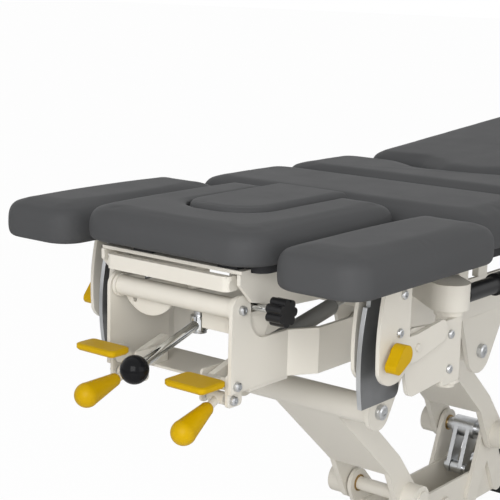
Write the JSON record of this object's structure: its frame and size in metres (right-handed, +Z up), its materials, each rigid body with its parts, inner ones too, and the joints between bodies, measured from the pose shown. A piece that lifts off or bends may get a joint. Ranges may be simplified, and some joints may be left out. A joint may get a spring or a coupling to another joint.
{
  "type": "treatment table",
  "caption": "Height-adjustable treatment table with tilting head and leg sections, swinging armrests, a lift-out face plug and levers at the head end.",
  "frame": {"origin": "centre of the bounding box at floor level", "axes": "+X towards the foot end, +Y towards the far side, which is the patient's left when lying face up with the head at the head end, +Z up"},
  "size_m": [2.0266, 0.66, 0.9698],
  "materials": {
    "paint": "satin powder coat, warm off-white",
    "vinyl": "satin charcoal upholstery vinyl",
    "yellow": "smooth yellow grips on steel levers",
    "black": "polished black plastic",
    "steel": "zinc plated steel",
    "chrome": "bright chrome",
    "spring_grey": "satin dark grey cylinder",
    "brass": "plain bronze bushes",
    "board": "black covered plywood",
    "tyre": "black polyurethane tyre on a plastic hub"
  },
  "bodies": {
    "base": {"base_beam": "paint", "front_leg": "paint", "rear_leg": "paint", "pivot_bushes": "brass", "control_box": "black"},
    "foot_bar": {"foot_bar": "paint"},
    "front_arm": {"front_arm": "paint"},
    "rear_arm": {"rear_arm": "paint", "lift_crank": "steel"},
    "actuator": {"actuator_body": "black"},
    "actuator_rod": {"actuator_rod": "steel"},
    "upper_frame": {"side_plate_far": "paint", "side_plate_near": "paint", "cross_members": "paint", "frame_risers": "paint", "head_tube": "paint", "frame_hangers": "paint", "frame_bolts": "steel", "armrest_supports": "paint", "trunk_boards": "board", "thoracic_cushion": "vinyl", "lumbar_cushion": "vinyl", "lever_post": "steel", "side_handle": "black"},
    "leg_section": {"leg_frame": "paint", "leg_board": "board", "leg_cushion": "vinyl"},
    "leg_spring": {"leg_spring_cylinder": "black"},
    "leg_spring_rod": {"leg_spring_rod": "steel"},
    "head_section": {"head_frame": "paint", "head_board": "board", "head_cushion": "vinyl"},
    "face_plug": {"face_plug": "vinyl"},
    "release_bar": {"release_bar": "paint"},
    "head_spring": {"head_spring_cylinder": "spring_grey"},
    "head_spring_rod": {"head_spring_rod": "steel"},
    "star_knob": {"star_knob": "black"},
    "ball_lever": {"ball_lever": "black"},
    "paddle_far": {"paddle_far": "yellow"},
    "paddle_near": {"paddle_near": "yellow"},
    "club_far": {"club_far": "yellow"},
    "club_near": {"club_near": "yellow"},
    "castor_1": {"castor_fork_1": "steel"},
    "wheel_1": {"castor_wheel_1": "tyre"},
    "castor_2": {"castor_fork_2": "steel"},
    "wheel_2": {"castor_wheel_2": "tyre"},
    "castor_3": {"castor_fork_3": "steel"},
    "wheel_3": {"castor_wheel_3": "tyre"},
    "castor_4": {"castor_fork_4": "steel"},
    "wheel_4": {"castor_wheel_4": "tyre"},
    "armrest_swing_far": {"armrest_bracket_far": "paint"},
    "armrest_far": {"armrest_sector_far": "chrome", "armrest_carrier_far": "paint", "armrest_cushion_far": "vinyl"},
    "clamp_lever_far": {"clamp_lever_far": "yellow"},
    "armrest_swing_near": {"armrest_bracket_near": "paint"},
    "armrest_near": {"armrest_sector_near": "chrome", "armrest_carrier_near": "paint", "armrest_cushion_near": "vinyl"},
    "clamp_lever_near": {"clamp_lever_near": "yellow"}
  },
  "joints": [
    {"name": "castor_1_swivel", "type": "hinge", "parent": "base", "child": "castor_1", "pos_m": [-0.45034, -0.27, 0.104], "axis": [0, 0, 1], "continuous": true},
    {"name": "wheel_1_roll", "type": "hinge", "parent": "castor_1", "child": "wheel_1", "pos_m": [-0.42634, -0.27, 0.0375], "axis": [0, 1, 0], "continuous": true},
    {"name": "castor_2_swivel", "type": "hinge", "parent": "base", "child": "castor_2", "pos_m": [-0.45034, 0.27, 0.104], "axis": [0, 0, 1], "continuous": true},
    {"name": "wheel_2_roll", "type": "hinge", "parent": "castor_2", "child": "wheel_2", "pos_m": [-0.42634, 0.27, 0.0375], "axis": [0, 1, 0], "continuous": true},
    {"name": "castor_3_swivel", "type": "hinge", "parent": "base", "child": "castor_3", "pos_m": [0.57966, -0.27, 0.104], "axis": [0, 0, 1], "continuous": true},
    {"name": "wheel_3_roll", "type": "hinge", "parent": "castor_3", "child": "wheel_3", "pos_m": [0.60366, -0.27, 0.0375], "axis": [0, 1, 0], "continuous": true},
    {"name": "castor_4_swivel", "type": "hinge", "parent": "base", "child": "castor_4", "pos_m": [0.57966, 0.27, 0.104], "axis": [0, 0, 1], "continuous": true},
    {"name": "wheel_4_roll", "type": "hinge", "parent": "castor_4", "child": "wheel_4", "pos_m": [0.60366, 0.27, 0.0375], "axis": [0, 1, 0], "continuous": true},
    {"name": "foot_bar_tilt", "type": "hinge", "parent": "base", "child": "foot_bar", "pos_m": [-0.17034, 0, 0.19], "axis": [0, 1, 0], "range_deg": [-8, 8], "stiffness_Nm_per_rad": 40, "springref_deg": 0.63},
    {"name": "lift", "type": "hinge", "parent": "base", "child": "front_arm", "pos_m": [-0.34034, 0, 0.338], "axis": [0, 1, 0], "range_deg": [-38, 23.5]},
    {"name": "rear_arm_lift", "type": "hinge", "parent": "base", "child": "rear_arm", "pos_m": [-0.02434, 0, 0.372], "axis": [0, 1, 0], "range_deg": [-38, 23.5]},
    {"name": "frame_level", "type": "hinge", "parent": "front_arm", "child": "upper_frame", "pos_m": [-0.56334, 0, 0.565], "axis": [0, 1, 0], "range_deg": [-23.5, 38]},
    {"name": "actuator_tilt", "type": "hinge", "parent": "base", "child": "actuator", "pos_m": [0.39466, 0, 0.3], "axis": [0, 1, 0], "range_deg": [-1.1, 1.7]},
    {"name": "actuator_stroke", "type": "slide", "parent": "actuator", "child": "actuator_rod", "axis": [-1, 0, -0.0013], "range_m": [-0.048, 0.03]},
    {"name": "leg_tilt", "type": "hinge", "parent": "upper_frame", "child": "leg_section", "pos_m": [-0.09234, 0, 0.8], "axis": [0, -1, 0], "range_deg": [-14, 11]},
    {"name": "leg_spring_swing", "type": "hinge", "parent": "upper_frame", "child": "leg_spring", "pos_m": [-0.17034, 0.112, 0.69], "axis": [0, -1, 0], "range_deg": [-8, 6.3]},
    {"name": "leg_spring_stroke", "type": "slide", "parent": "leg_spring", "child": "leg_spring_rod", "axis": [0.9347, 0, 0.3555], "range_m": [-0.019, 0.0149]},
    {"name": "head_tilt", "type": "hinge", "parent": "upper_frame", "child": "head_section", "pos_m": [-0.57834, 0, 0.836], "axis": [0, 1, 0], "range_deg": [0, 28]},
    {"name": "head_spring_swing", "type": "hinge", "parent": "upper_frame", "child": "head_spring", "pos_m": [-0.86034, -0.095, 0.702], "axis": [0, 1, 0], "range_deg": [-5.4, 0]},
    {"name": "head_spring_stroke", "type": "slide", "parent": "head_spring", "child": "head_spring_rod", "axis": [0.9833, 0, 0.1821], "range_m": [-0.0336, 0]},
    {"name": "face_plug_lift", "type": "slide", "parent": "head_section", "child": "face_plug", "axis": [0, 0, 1], "range_m": [0, 0.12]},
    {"name": "release_bar_press", "type": "hinge", "parent": "head_section", "child": "release_bar", "pos_m": [-0.87034, 0, 0.82], "axis": [0, 1, 0], "range_deg": [-10, 0], "stiffness_Nm_per_rad": 6, "springref_deg": 1.72},
    {"name": "knob_turn", "type": "hinge", "parent": "upper_frame", "child": "star_knob", "pos_m": [-0.86234, -0.15, 0.784], "axis": [0, 1, 0], "continuous": true},
    {"name": "ball_lever_swing", "type": "hinge", "parent": "upper_frame", "child": "ball_lever", "pos_m": [-0.84534, -0.005, 0.728], "axis": [0, 0, 1], "range_deg": [-15, 8]},
    {"name": "paddle_far_press", "type": "hinge", "parent": "upper_frame", "child": "paddle_far", "pos_m": [-0.89634, 0.085, 0.678], "axis": [0, 1, 0], "range_deg": [-8, 0], "stiffness_Nm_per_rad": 6, "springref_deg": 1.15},
    {"name": "club_far_lift", "type": "hinge", "parent": "upper_frame", "child": "club_far", "pos_m": [-0.89634, 0.085, 0.657], "axis": [0, 1, 0], "range_deg": [0, 12], "stiffness_Nm_per_rad": 6, "springref_deg": -1.15},
    {"name": "paddle_near_press", "type": "hinge", "parent": "upper_frame", "child": "paddle_near", "pos_m": [-0.89634, -0.085, 0.678], "axis": [0, 1, 0], "range_deg": [-8, 0], "stiffness_Nm_per_rad": 6, "springref_deg": 1.15},
    {"name": "club_near_lift", "type": "hinge", "parent": "upper_frame", "child": "club_near", "pos_m": [-0.89634, -0.085, 0.657], "axis": [0, 1, 0], "range_deg": [0, 12], "stiffness_Nm_per_rad": 6, "springref_deg": -1.15},
    {"name": "armrest_far_swing", "type": "hinge", "parent": "upper_frame", "child": "armrest_swing_far", "pos_m": [-0.55534, 0.244, 0.7], "axis": [0, 0, -1], "range_deg": [0, 45]},
    {"name": "armrest_far_tilt", "type": "hinge", "parent": "armrest_swing_far", "child": "armrest_far", "pos_m": [-0.68634, 0.244, 0.72], "axis": [0, -1, 0], "range_deg": [-2, 30]},
    {"name": "clamp_far_turn", "type": "hinge", "parent": "armrest_far", "child": "clamp_lever_far", "pos_m": [-0.75234, 0.286, 0.727], "axis": [0, -1, 0], "range_deg": [0, 60]},
    {"name": "armrest_near_swing", "type": "hinge", "parent": "upper_frame", "child": "armrest_swing_near", "pos_m": [-0.55534, -0.244, 0.7], "axis": [0, 0, 1], "range_deg": [0, 45]},
    {"name": "armrest_near_tilt", "type": "hinge", "parent": "armrest_swing_near", "child": "armrest_near", "pos_m": [-0.68634, -0.244, 0.72], "axis": [0, -1, 0], "range_deg": [-2, 30]},
    {"name": "clamp_near_turn", "type": "hinge", "parent": "armrest_near", "child": "clamp_lever_near", "pos_m": [-0.75234, -0.286, 0.727], "axis": [0, -1, 0], "range_deg": [0, 60]}
  ],
  "couplings": [
    {"joint": "rear_arm_lift", "follows": "lift", "ratio": 1},
    {"joint": "frame_level", "follows": "lift", "ratio": -1},
    {"joint": "actuator_tilt", "follows": "lift", "ratio": -0.042},
    {"joint": "actuator_stroke", "follows": "lift", "m_per_rad": 0.0712},
    {"joint": "leg_spring_swing", "follows": "leg_tilt", "ratio": 0.568},
    {"joint": "leg_spring_stroke", "follows": "leg_tilt", "m_per_rad": 0.0768},
    {"joint": "head_spring_swing", "follows": "head_tilt", "ratio": -0.1886},
    {"joint": "head_spring_stroke", "follows": "head_tilt", "m_per_rad": -0.0685}
  ]
}
